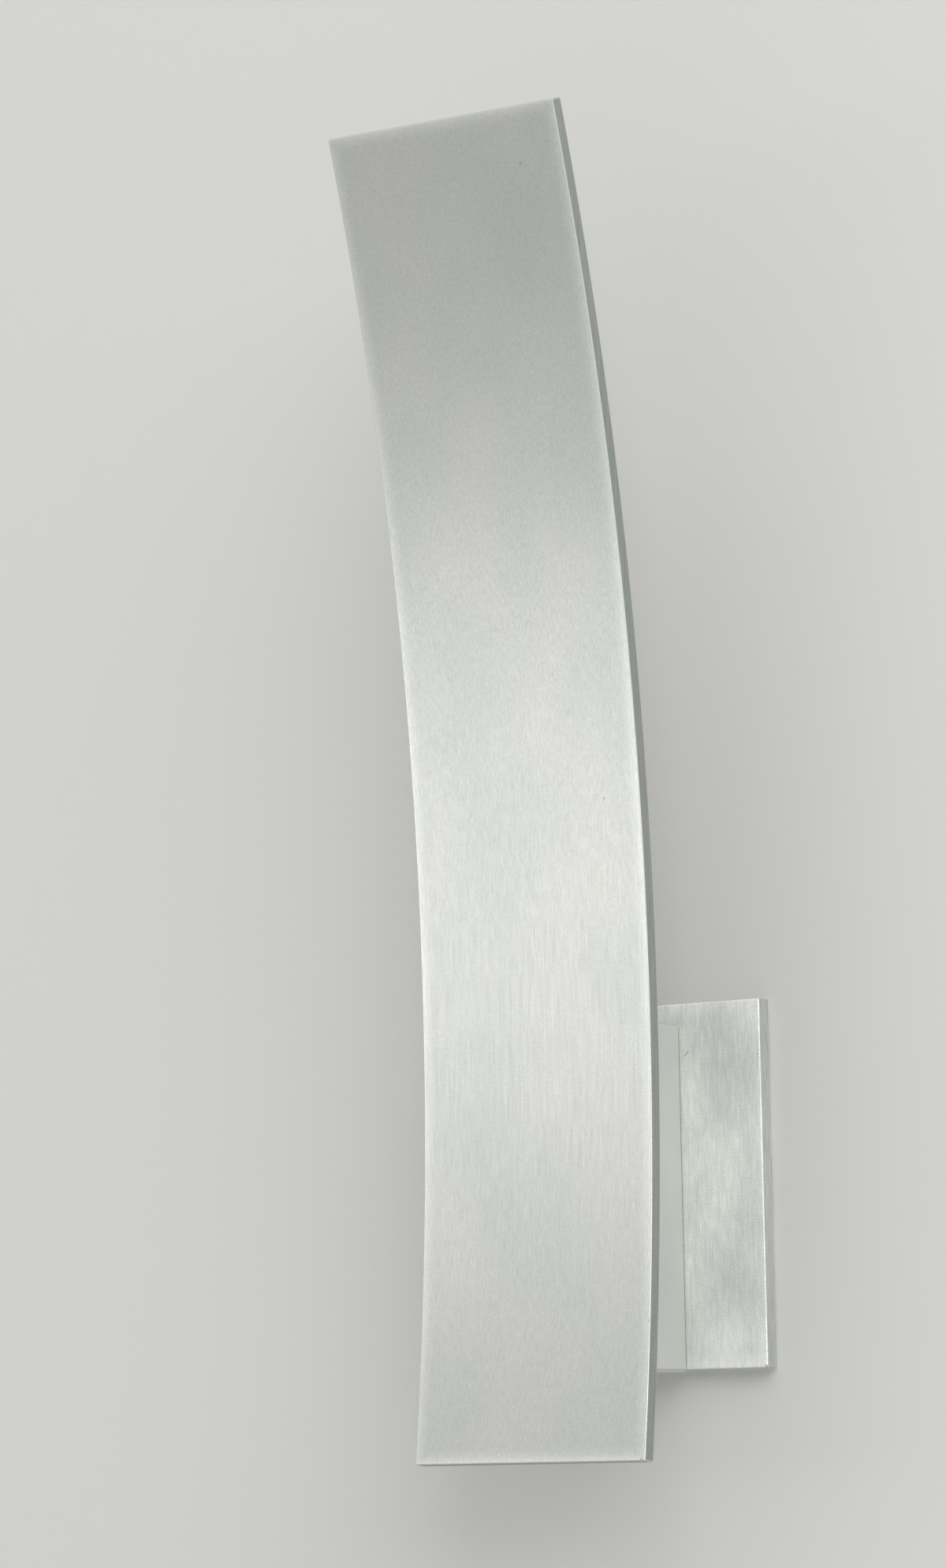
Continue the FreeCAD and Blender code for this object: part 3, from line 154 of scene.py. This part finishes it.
class Shader:
    """A node material in the making, with short ways to add what most of them need."""

    def __init__(self, name, color, metallic, roughness):
        self.material = bpy.data.materials.new(name)
        self.material.use_nodes = True
        self.material.diffuse_color = (*color, 1.0)
        self.tree = self.material.node_tree
        self.surface = self.tree.nodes["Principled BSDF"]
        self.set({"Base Color": color, "Metallic": metallic, "Roughness": roughness})
        self.places = self.add("ShaderNodeTexCoord").outputs["Object"]

    def feed(self, socket, source):
        """Give a socket a number, a vector, a colour or the output of another node."""
        if isinstance(source, bpy.types.NodeSocket):
            self.tree.links.new(source, socket)
        elif socket.type == "RGBA":
            socket.default_value = (*source, 1.0)
        else:
            socket.default_value = source

    def set(self, inputs):
        """Feed sockets of the surface shader."""
        for socket, source in inputs.items():
            self.feed(self.surface.inputs[socket], source)

    def add(self, kind, inputs=None, **options):
        """Add a node with its options set and its sockets fed."""
        node = self.tree.nodes.new(kind)
        for option, choice in options.items():
            setattr(node, option, choice)
        for socket, source in (inputs or {}).items():
            self.feed(node.inputs[socket], source)
        return node

    def calc(self, operation, *operands):
        """Work with numbers."""
        node = self.add("ShaderNodeMath", dict(enumerate(operands)), operation=operation)
        return node.outputs["Value"]

    def vector(self, operation, *operands):
        """Work with vectors. This gives both outputs, Vector and Value."""
        node = self.add("ShaderNodeVectorMath", dict(enumerate(operands)), operation=operation)
        return node.outputs

    def noise(self, scale=1.0, stretch=(1, 1, 1), detail=4.0, roughness=0.6):
        """Noise in the part's own space. A larger stretch makes it finer along that axis."""
        mapping = self.add("ShaderNodeMapping", {"Scale": stretch, "Vector": self.places})
        node = self.add("ShaderNodeTexNoise", {
            "Scale": scale, "Detail": detail, "Roughness": roughness,
            "Vector": mapping.outputs["Vector"]})
        return node.outputs["Fac"]

    def cells(self, scale):
        """Cells in the part's own space. This gives both outputs, Color and Distance."""
        return self.add("ShaderNodeTexVoronoi", {"Scale": scale, "Vector": self.places},
                        feature="F1").outputs

    def spread(self, source, low=0.0, high=1.0, part=NOISE_PART):
        """Run from low to high while the source runs over a part of its range."""
        node = self.add("ShaderNodeMapRange", {
            "Value": source, "From Min": part[0], "From Max": part[1], "To Min": low,
            "To Max": high})
        return node.outputs["Result"]

    def mix(self, factor, first, second, blend="MIX"):
        """Mix two colours by a factor."""
        node = self.add("ShaderNodeMix", {"Factor": factor, MIX_FIRST: first, MIX_SECOND: second},
                        data_type="RGBA", blend_type=blend)
        return node.outputs[MIX_RESULT]

    def vary(self, tone, source, depth, tint=WHITE):
        """Darken a tone where a noise is low, towards a tint, and lighten it where it is high."""
        low = shade(tint, 1 - depth * LAYER_DARK)
        high = shade(WHITE, 1 + depth * LAYER_LIGHT)
        varied = self.mix(self.spread(source, part=LAYER_PART), low, high)
        return self.mix(1.0, tone, varied, "MULTIPLY")

    def bump(self, height, distance, strength):
        node = self.add("ShaderNodeBump", {
            "Height": height, "Distance": distance, "Strength": strength})
        self.set({"Normal": node.outputs["Normal"]})

    def rim(self, half_width, low, high, reach):
        """Mask of a painted highlight rising within reach of the sides and ends of an upright
        piece.
        """
        place = self.add("ShaderNodeSeparateXYZ", {"Vector": self.places}).outputs
        across = self.calc("ABSOLUTE", place["X"])
        side = self.spread(across, part=(half_width - reach, half_width))
        bottom = self.spread(place["Z"], low=1.0, high=0.0, part=(low, low + reach))
        top = self.spread(place["Z"], part=(high - reach, high))
        nearest = self.calc("MAXIMUM", self.calc("MAXIMUM", side, bottom), top)
        return self.calc("POWER", nearest, PAINTED_HIGHLIGHT_FALL)

    def spots(self, marks):
        """Mask of small ragged marks of painted shade for nicks, each given by its place and
        radius.
        """
        ragged = self.add("ShaderNodeTexNoise", {"Scale": MARK_NOISE, "Vector": self.places})
        shift = self.vector("MULTIPLY_ADD", ragged.outputs["Color"], (MARK_SHIFT,) * 3,
                            (-MARK_SHIFT / 2,) * 3)["Vector"]
        moved = self.vector("ADD", self.places, shift)["Vector"]
        mask = 0.0
        for place, radius in marks:
            away = self.vector("DISTANCE", moved, place)["Value"]
            spot = self.spread(away, low=MARK_COVER, high=0.0, part=(radius * MARK_CORE, radius))
            mask = self.calc("MAXIMUM", spot, mask)
        return mask

    def edges(self):
        """Mask of the convex and concave edges, where handling rubs a finish bright."""
        rounded = self.add("ShaderNodeBevel", {"Radius": WEAR_REACH}, samples=4)
        flat = self.add("ShaderNodeNewGeometry")
        turn = self.vector("DOT_PRODUCT", rounded.outputs["Normal"], flat.outputs["True Normal"])
        return self.spread(turn["Value"], low=1.0, high=0.0, part=WEAR_TURN)


def brushed(name, color, roughness, metallic=1.0, turn=0.5, streaks=(2600, 2600, 45),
            streak_depth=0.065, tooth_depth=0.14, bands=(600, 600, 14), band_depth=0.016,
            clouds=(26, 26, 15), cloud_depth=0.05, rim=None, lift=1.26, marks=()):
    """Aluminium brushed up and down: fine streaks, a tooth, broad bands and soft clouds.

    turn is how far the gloss spreads sideways. rim gives the sides, ends and reach of a paler rim,
    a painted highlight, lift how pale it is, and marks the small dark marks, painted shade of
    nicks.
    """
    shader = Shader(name, color, metallic, roughness)
    fine = shader.noise(stretch=streaks, detail=2.0, roughness=0.5)
    tooth = shader.noise(stretch=TOOTH_STRETCH, detail=2.0, roughness=0.6)
    broad = shader.noise(stretch=bands, detail=2.0, roughness=0.5)
    cloudy = shader.noise(stretch=clouds, detail=1.5, roughness=0.4)
    tone = shader.mix(shader.spread(fine, part=STREAK_PART), shade(color, 1 - streak_depth),
                      shade(color, 1 + streak_depth * STREAK_LIGHT))
    tone = shader.vary(tone, tooth, tooth_depth)
    tone = shader.vary(tone, broad, band_depth)
    tone = shader.vary(tone, cloudy, cloud_depth, COOL)
    # A pale rim near the sides and ends: a painted highlight
    if rim:
        pale = shader.mix(1.0, tone, shade(PAINTED_HIGHLIGHT_TINT, lift), "MULTIPLY")
        tone = shader.mix(shader.rim(*rim), tone, pale)
    # Small dark marks: painted shade for nicks
    if marks:
        tone = shader.mix(shader.spots(marks), tone, shade(color, MARK_PAINTED_SHADE))
    gloss = shader.spread(fine, low=roughness + GLOSS_SWING, high=roughness - GLOSS_SWING,
                          part=GLOSS_PART)
    tangent = shader.add("ShaderNodeTangent", direction_type="UV_MAP", uv_map=GRAIN_MAP)
    shader.bump(fine, distance=0.003 * MM, strength=0.5)
    shader.set({"Base Color": tone, "Roughness": gloss, "Anisotropic": turn,
                "Tangent": tangent.outputs["Tangent"]})
    return shader.material


def satin(name, color, metallic, roughness, grain=900.0, mottle=0.05, wear=None, bump=0.01 * MM):
    """Smooth finish with a fine tooth and a faint mottle, and where wear gives their colour,
    rubbed edges."""
    shader = Shader(name, color, metallic, roughness)
    tooth = shader.noise(grain, detail=3.0)
    patches = shader.noise(scale=34.0, stretch=(1, 1, 0.5), detail=3.0)
    tone = shader.mix(shader.spread(patches), shade(color, 1 - mottle),
                      shade(color, 1 + mottle * MOTTLE_LIGHT))
    if wear:
        uneven = shader.spread(shader.noise(scale=160.0), low=0.2)
        tone = shader.mix(shader.calc("MULTIPLY", shader.edges(), uneven), tone, wear)
    shader.set({"Base Color": tone,
                "Roughness": shader.spread(patches, low=roughness + 0.05, high=roughness - 0.04)})
    shader.bump(tooth, distance=bump, strength=0.5)
    return shader.material


def moulded(name, color, roughness, mottle=0.04, grain=1500.0, bump=0.02 * MM):
    """Moulded plastic or rubber with a fine spark-eroded grain."""
    return satin(name, color, 0.0, roughness, grain, mottle, bump=bump)


def zinc(name, color):
    """Zinc-plated sheet: faint crystals, rolling lines and dull yellowish patches."""
    shader = Shader(name, color, metallic=1.0, roughness=0.42)
    crystals = shader.cells(scale=260.0)["Color"]
    rolled = shader.noise(stretch=(900, 900, 30), detail=3.0)
    patches = shader.noise(scale=60.0, detail=5.0)
    tone = shader.mix(shader.spread(crystals, part=(0.1, 0.9)), shade(color, 0.92),
                      shade(color, 1.06))
    tone = shader.mix(shader.spread(patches, high=0.35, part=(0.5, 0.75)), tone, DULL_ZINC)
    shader.set({"Base Color": tone, "Roughness": shader.spread(rolled, low=0.54, high=0.66)})
    shader.bump(rolled, distance=0.01 * MM, strength=0.5)
    return shader.material


def turned(name, color, roughness):
    """Machined metal with turning marks and a faint tarnish."""
    shader = Shader(name, color, metallic=1.0, roughness=roughness)
    marks = shader.noise(scale=2600.0, detail=2.0)
    tarnish = shader.noise(scale=420.0)
    shader.set({
        "Base Color": shader.mix(shader.spread(tarnish), shade(color, 0.82), color),
        "Roughness": shader.spread(tarnish, low=roughness + 0.14, high=roughness - 0.05)})
    shader.bump(marks, distance=0.006 * MM, strength=0.6)
    return shader.material


def frosted(name, color):
    """Frosted diffuser: bright and soft, with a fine etched tooth."""
    shader = Shader(name, color, metallic=0.0, roughness=0.55)
    etched = shader.noise(scale=1800.0)
    shader.set({"Transmission Weight": 0.35, "IOR": 1.49, "Subsurface Weight": 0.25,
                "Subsurface Radius": (3.0 * MM, 3.0 * MM, 2.7 * MM),
                "Roughness": shader.spread(etched, low=0.48, high=0.64)})
    shader.bump(etched, distance=0.02 * MM, strength=0.6)
    return shader.material


def foam(name, color):
    """Closed-cell foam with open pores on its cut face."""
    shader = Shader(name, color, metallic=0.0, roughness=0.95)
    pores = shader.cells(scale=1400.0)["Distance"]
    depth = shader.spread(pores, part=(0.1, 0.6))
    shader.set({"Base Color": shader.mix(depth, color, shade(color, 0.5))})
    shader.bump(pores, distance=0.12 * MM, strength=0.8)
    return shader.material


def board(name, color, line_color):
    """Circuit board: solder mask with faint tracks under it."""
    shader = Shader(name, color, metallic=0.0, roughness=0.35)
    tracks = shader.add("ShaderNodeTexBrick", {
        "Scale": 130.0, "Mortar Size": 0.06, "Color1": color, "Color2": shade(color, 0.93),
        "Mortar": line_color, "Vector": shader.places}, offset=0.5)
    shader.set({"Base Color": tracks.outputs["Color"],
                "Roughness": shader.spread(shader.noise(scale=300.0), low=0.3, high=0.45)})
    shader.bump(tracks.outputs["Fac"], distance=0.03 * MM, strength=0.4)
    return shader.material


looks = {
    # Blade face: a pale rim along its sides and ends, a painted highlight, and small dark marks of
    # painted shade for nicks
    "brushed_face": brushed(
        "brushed_face", ALUMINIUM, roughness=0.30, turn=0.75,
        rim=(BLADE_WIDTH / 2, BLADE_LOW, BLADE_HIGH, 7 * MM), marks=BLADE_PAINTED_NICKS),
    # Blade's cut sides: coarser streaks of their own, and a darker colour that is painted shade
    "brushed_side_painted_shade": brushed(
        "brushed_side_painted_shade", (0.42, 0.44, 0.415), roughness=0.46, streaks=(1500, 1500, 40),
        streak_depth=0.10),
    # Plate face: a coarser grain of its own, and a colour paler than the blade's that is painted
    # light. Its pale rim is a painted highlight, its dark marks painted shade for nicks
    "brushed_plate_painted_light": brushed(
        "brushed_plate_painted_light", (0.83, 0.842, 0.812), roughness=0.50, metallic=0.3,
        streaks=(2900, 2900, 80), streak_depth=0.10, tooth_depth=0.30, bands=(430, 430, 150),
        band_depth=0.09, clouds=(38, 38, 26), cloud_depth=0.22,
        rim=(BLADE_WIDTH / 2, -PLATE_HEIGHT / 2, PLATE_HEIGHT / 2, 9 * MM), lift=1.12,
        marks=PLATE_PAINTED_NICKS),
    # Pan's cut rim: streaks of its own, and a darker colour that is painted shade
    "plate_rim": brushed(
        "plate_rim", (0.52, 0.53, 0.51), roughness=0.55, metallic=0.5, streaks=(1800, 1800, 90),
        streak_depth=0.16, cloud_depth=0.08),
    # Plate's rounded edges: darker and duller, painted shade that keeps them from catching light
    "plate_edge_painted_shade": brushed(
        "plate_edge_painted_shade", (0.38, 0.39, 0.37), roughness=0.78, metallic=0.1, streaks=(1800, 1800, 90),
        streak_depth=0.12, cloud_depth=0.06),
    "satin_aluminium": satin(
        "satin_aluminium", (0.605, 0.618, 0.59), metallic=0.35, roughness=0.46,
        wear=(0.80, 0.80, 0.77)),
    # Dark line along the housing's rounded edges: painted shade
    "housing_edge_painted_shade": satin("housing_edge_painted_shade", (0.30, 0.305, 0.29), metallic=0.3, roughness=0.5),
    "cover_aluminium": satin(
        "cover_aluminium", (0.47, 0.475, 0.425), metallic=0.35, roughness=0.5,
        wear=(0.70, 0.70, 0.66)),
    "tray_aluminium": satin("tray_aluminium", (0.66, 0.67, 0.66), metallic=0.9, roughness=0.42),
    "ground_green": satin(
        "ground_green", (0.035, 0.24, 0.09), metallic=0.3, roughness=0.38,
        wear=(0.30, 0.34, 0.28)),
    "zinc_steel": zinc("zinc_steel", (0.56, 0.56, 0.545)),
    "polished_edge": turned("polished_edge", (0.80, 0.80, 0.76), roughness=0.34),
    "stainless": turned("stainless", (0.62, 0.61, 0.59), roughness=0.3),
    "brass": turned("brass", (0.66, 0.48, 0.20), roughness=0.28),
    "frosted_lens": frosted("frosted_lens", (0.90, 0.90, 0.87)),
    "grey_foam": foam("grey_foam", (0.14, 0.14, 0.15)),
    "board_white": board("board_white", (0.78, 0.78, 0.75), line_color=(0.66, 0.66, 0.64)),
    "circuit_green": board("circuit_green", (0.03, 0.20, 0.09), line_color=(0.06, 0.30, 0.14)),
    "gasket_grey": moulded("gasket_grey", (0.24, 0.24, 0.23), roughness=0.7),
    "black_rubber": moulded("black_rubber", (0.028, 0.028, 0.03), roughness=0.62),
    "silicone": moulded("silicone", (0.62, 0.62, 0.60), roughness=0.55),
    "thermal_grey": moulded("thermal_grey", (0.34, 0.36, 0.40), roughness=0.8),
    "white_plastic": moulded("white_plastic", (0.80, 0.80, 0.77), roughness=0.4),
    "case_grey": moulded("case_grey", (0.66, 0.66, 0.64), roughness=0.5),
    "capacitor_black": moulded("capacitor_black", (0.02, 0.02, 0.05), roughness=0.22),
    "terminal_plastic": moulded("terminal_plastic", (0.74, 0.70, 0.56), roughness=0.42),
    "lead_red": moulded("lead_red", (0.50, 0.02, 0.015), roughness=0.36),
    "lead_black": moulded("lead_black", (0.018, 0.018, 0.018), roughness=0.36),
    "lead_white": moulded("lead_white", (0.74, 0.74, 0.72), roughness=0.36),
    "phosphor": moulded(
        "phosphor", (0.86, 0.66, 0.16), roughness=0.3, mottle=0.06, grain=3000.0),
    "ferrite": moulded(
        "ferrite", (0.06, 0.06, 0.065), roughness=0.7, mottle=0.12, grain=700.0, bump=0.05 * MM),
}


# Pieces

def link(name, data):
    thing = bpy.data.objects.new(name, data)
    bpy.context.scene.collection.objects.link(thing)
    return thing


def apply_modifiers(piece):
    depsgraph = bpy.context.evaluated_depsgraph_get()
    mesh = bpy.data.meshes.new_from_object(piece.evaluated_get(depsgraph))
    piece.modifiers.clear()
    piece.data = mesh


def soften(piece, width, segments, edge_slot=None):
    """Round the sharp edges and keep the flats flat in the shading."""
    bevel = piece.modifiers.new("soften", "BEVEL")
    bevel.width = width
    bevel.segments = segments
    bevel.limit_method = "ANGLE"
    bevel.angle_limit = SHARP_ANGLE
    bevel.miter_outer = "MITER_ARC"
    if edge_slot is not None:
        bevel.material = edge_slot
    normals = piece.modifiers.new("normals", "WEIGHTED_NORMAL")
    normals.keep_sharp = True
    normals.weight = NORMAL_WEIGHT
    apply_modifiers(piece)


def grain_map(mesh):
    """Lay a map whose first direction runs level across each face, so that the gloss of the
    upright grain spreads sideways."""
    layer = mesh.uv_layers.new(name=GRAIN_MAP)
    for polygon in mesh.polygons:
        normal = polygon.normal
        side = Vector((0, 0, 1)).cross(normal)
        if side.length < NEARLY_LEVEL:
            side = Vector((1, 0, 0))
        side.normalize()
        up = normal.cross(side)
        for loop in polygon.loop_indices:
            place = mesh.vertices[mesh.loops[loop].vertex_index].co
            layer.data[loop].uv = (place.dot(side), place.dot(up))


def make_blade():
    """The curved plate, in fine steps along its arc, with its edges broken all round."""
    mesh = bpy.data.meshes.new("blade_skin")
    shape = bmesh.new()
    axis_out = BLADE_STANDOFF + BLADE_RADIUS
    front, back = BLADE_RADIUS, BLADE_RADIUS + BLADE_GAUGE
    corners = ((-1, front), (1, front), (1, back), (-1, back))
    rings = []
    for step in range(BLADE_STEPS + 1):
        angle = -BLADE_BOTTOM_ANGLE + (BLADE_TOP_ANGLE + BLADE_BOTTOM_ANGLE) * step / BLADE_STEPS
        rings.append([shape.verts.new((side * BLADE_WIDTH / 2, radius * math.cos(angle) - axis_out,
                                       radius * math.sin(angle) + PLUMB_HEIGHT))
                      for side, radius in corners])
    # Between two rings the faces are the front, a side, the back and the other side
    for low, high in zip(rings, rings[1:]):
        for corner in range(len(corners)):
            after = (corner + 1) % len(corners)
            face = shape.faces.new((low[corner], low[after], high[after], high[corner]))
            face.material_index = corner % 2
    for ring in (rings[0], rings[-1]):
        shape.faces.new(ring).material_index = 1
    bmesh.ops.recalc_face_normals(shape, faces=shape.faces)
    for face in shape.faces:
        face.smooth = True
    shape.to_mesh(mesh)
    shape.free()
    piece = link("blade_skin", mesh)
    # The cut sides take a darker colour that is painted shade
    for look in ("brushed_face", "brushed_side_painted_shade", "polished_edge"):
        mesh.materials.append(looks[look])
    soften(piece, EDGE_BREAK, EDGE_SEGMENTS, edge_slot=2)
    grain_map(piece.data)
    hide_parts("blade")
    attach(piece, "fixture")


def dressed_copy(node, body, slot, width, segments=2, edge_slot=None, materials=None, sides=None):
    """Stand in for a solid with the same shape, its flats made whole and its sharp edges rounded.

    sides picks a face's material from its normal.
    """
    mesh = nodes[node].data.copy()
    mesh.materials.clear()
    shape = bmesh.new()
    shape.from_mesh(mesh)
    bmesh.ops.remove_doubles(shape, verts=shape.verts, dist=MERGE_REACH)
    bmesh.ops.dissolve_limit(shape, angle_limit=FLAT_ANGLE, verts=shape.verts, edges=shape.edges)
    for face in shape.faces:
        face.smooth = True
        if sides:
            face.material_index = sides(face.normal)
    shape.to_mesh(mesh)
    shape.free()
    piece = link(node + "_skin", mesh)
    for look in materials or (slot,):
        mesh.materials.append(looks[look])
    soften(piece, width, segments, edge_slot)
    grain_map(piece.data)
    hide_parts(node)
    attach(piece, body)


def plate_sides(normal):
    """The pan's rim: its own cut finish, darker by painted shade. Its front and its inside are
    brushed.
    """
    return 0 if abs(normal.y) > 0.5 else 1


make_blade()
# The plate's rounded edges take a darker, duller colour of painted shade
dressed_copy("back_plate", "fixture", "brushed_aluminium", width=0.2 * MM,
             segments=EDGE_SEGMENTS, edge_slot=2,
             materials=("brushed_plate_painted_light", "plate_rim", "plate_edge_painted_shade"), sides=plate_sides)
# The housing's rounded edges take a dark colour, a line of painted shade
dressed_copy("lamp_housing", "fixture", "satin_aluminium", width=0.25 * MM, edge_slot=1,
             materials=("satin_aluminium", "housing_edge_painted_shade"))
dressed_copy("bottom_cover", "fixture", "satin_aluminium", width=0.2 * MM,
             materials=("cover_aluminium",))
dressed_copy("wall_bracket", "wall_mount", "zinc_steel", width=0.12 * MM)
dressed_copy("lens", "fixture", "frosted_lens", width=0.3 * MM)
dressed_copy("lens_bezel", "fixture", "satin_aluminium", width=0.15 * MM)

# The other solids keep their own shape and get the look of their slot, apart from two with a look
# of their own. A slot without a look has no solid that shows
own_looks = {"led_tray": "tray_aluminium", "housing_gasket": "gasket_grey"}
for part in frame["record"]["subparts"]:
    look = looks.get(own_looks.get(part["node"], part["material_slot"]))
    if look:
        finishes = nodes[part["node"]].data.materials
        finishes.clear()
        finishes.append(look)


# Stage

def stage_material(name, color, seen_only=False):
    """Plain pale finish. With seen_only it shows to a camera in front of it and, a little way off,
    in gloss and glass, and lets all other light through."""
    shader = Shader(name, color, metallic=0.0, roughness=1.0)
    shader.set({"Specular IOR Level": 0.0})
    if seen_only:
        geometry = shader.add("ShaderNodeNewGeometry")
        ray = shader.add("ShaderNodeLightPath").outputs
        front = shader.calc("SUBTRACT", 1.0, geometry.outputs["Backfacing"])
        mirrored = shader.calc("MAXIMUM", ray["Is Glossy Ray"], ray["Is Transmission Ray"])
        far = shader.calc("GREATER_THAN", ray["Ray Length"], MIRROR_START)
        seen = shader.calc("MAXIMUM", ray["Is Camera Ray"], shader.calc("MULTIPLY", mirrored, far))
        clear = shader.add("ShaderNodeBsdfTransparent")
        mixed = shader.add("ShaderNodeMixShader", {
            0: shader.calc("MULTIPLY", front, seen), 1: clear.outputs["BSDF"],
            2: shader.surface.outputs["BSDF"]})
        output = shader.tree.nodes["Material Output"]
        shader.feed(output.inputs["Surface"], mixed.outputs["Shader"])
    return shader.material


def stage_plane(name, low, high, look):
    """A plane from its lowest corner to its highest, level or upright, with two edges along X."""
    corners = (low, (high[0], low[1], low[2]), high, (low[0], high[1], high[2]))
    mesh = bpy.data.meshes.new(name)
    mesh.from_pydata(corners, [], [(0, 1, 2, 3)])
    mesh.materials.append(look)
    plane = link(name, mesh)


stage_plane("floor", (-STAGE_REACH, -STAGE_REACH, FLOOR_HEIGHT),
            (STAGE_REACH, STAGE_REACH, FLOOR_HEIGHT),
            stage_material("floor_paint", (0.67, 0.68, 0.68)))
stage_plane("wall", (-STAGE_REACH, WALL_GAP, FLOOR_HEIGHT),
            (STAGE_REACH, WALL_GAP, STAGE_REACH),
            stage_material("wall_paint", (0.62, 0.62, 0.615), seen_only=True))


# Light

def area_light(name, place, target, width, height, watts, color=WHITE):
    data = bpy.data.lights.new(name, "AREA")
    data.shape = "RECTANGLE"
    data.size = width
    data.size_y = height
    data.energy = watts
    data.color = color
    lamp = link(name, data)
    lamp.location = place
    lamp.rotation_euler = (Vector(target) - Vector(place)).to_track_quat("-Z", "Y").to_euler()


area_light("key", place=(-2.8, -4.1, 0.16), target=(0, -0.08, 0.10), width=3.3, height=0.85,
           watts=7.1, color=(1.0, 0.995, 0.97))
area_light("fill", place=(3.6, -3.4, 2.6), target=(0, -0.08, 0.12), width=4.4, height=3.6,
           watts=168.0, color=(1.0, 0.995, 0.98))
area_light("above", place=(0.0, -2.2, 3.4), target=(0, -0.08, 0.12), width=3.0, height=2.0,
           watts=24.0)

world = bpy.data.worlds.new("studio")
bpy.context.scene.world = world
world.use_nodes = True
background = world.node_tree.nodes["Background"].inputs
background["Color"].default_value = (*WORLD_COLOR, 1.0)
background["Strength"].default_value = WORLD_STRENGTH


# Camera

camera_data = bpy.data.cameras.new("camera")
camera_data.lens = CAMERA_LENS
camera_data.sensor_width = SENSOR
camera_data.sensor_height = SENSOR
camera_data.sensor_fit = "AUTO"
camera_data.clip_end = CAMERA_REACH
camera = link("camera", camera_data)
ahead = Vector((-math.sin(CAMERA_YAW) * math.cos(CAMERA_PITCH),
                math.cos(CAMERA_YAW) * math.cos(CAMERA_PITCH),
                math.sin(CAMERA_PITCH)))
level_right = Vector((math.cos(CAMERA_YAW), math.sin(CAMERA_YAW), 0))
level_up = level_right.cross(ahead)
right = level_right * math.cos(CAMERA_ROLL) + level_up * math.sin(CAMERA_ROLL)
up = -level_right * math.sin(CAMERA_ROLL) + level_up * math.cos(CAMERA_ROLL)
turning = Matrix((right, up, -ahead)).transposed().to_4x4()
camera.matrix_world = Matrix.Translation(CAMERA_PLACE) @ turning
bpy.context.scene.camera = camera

bpy.context.scene.view_settings.view_transform = "Standard"
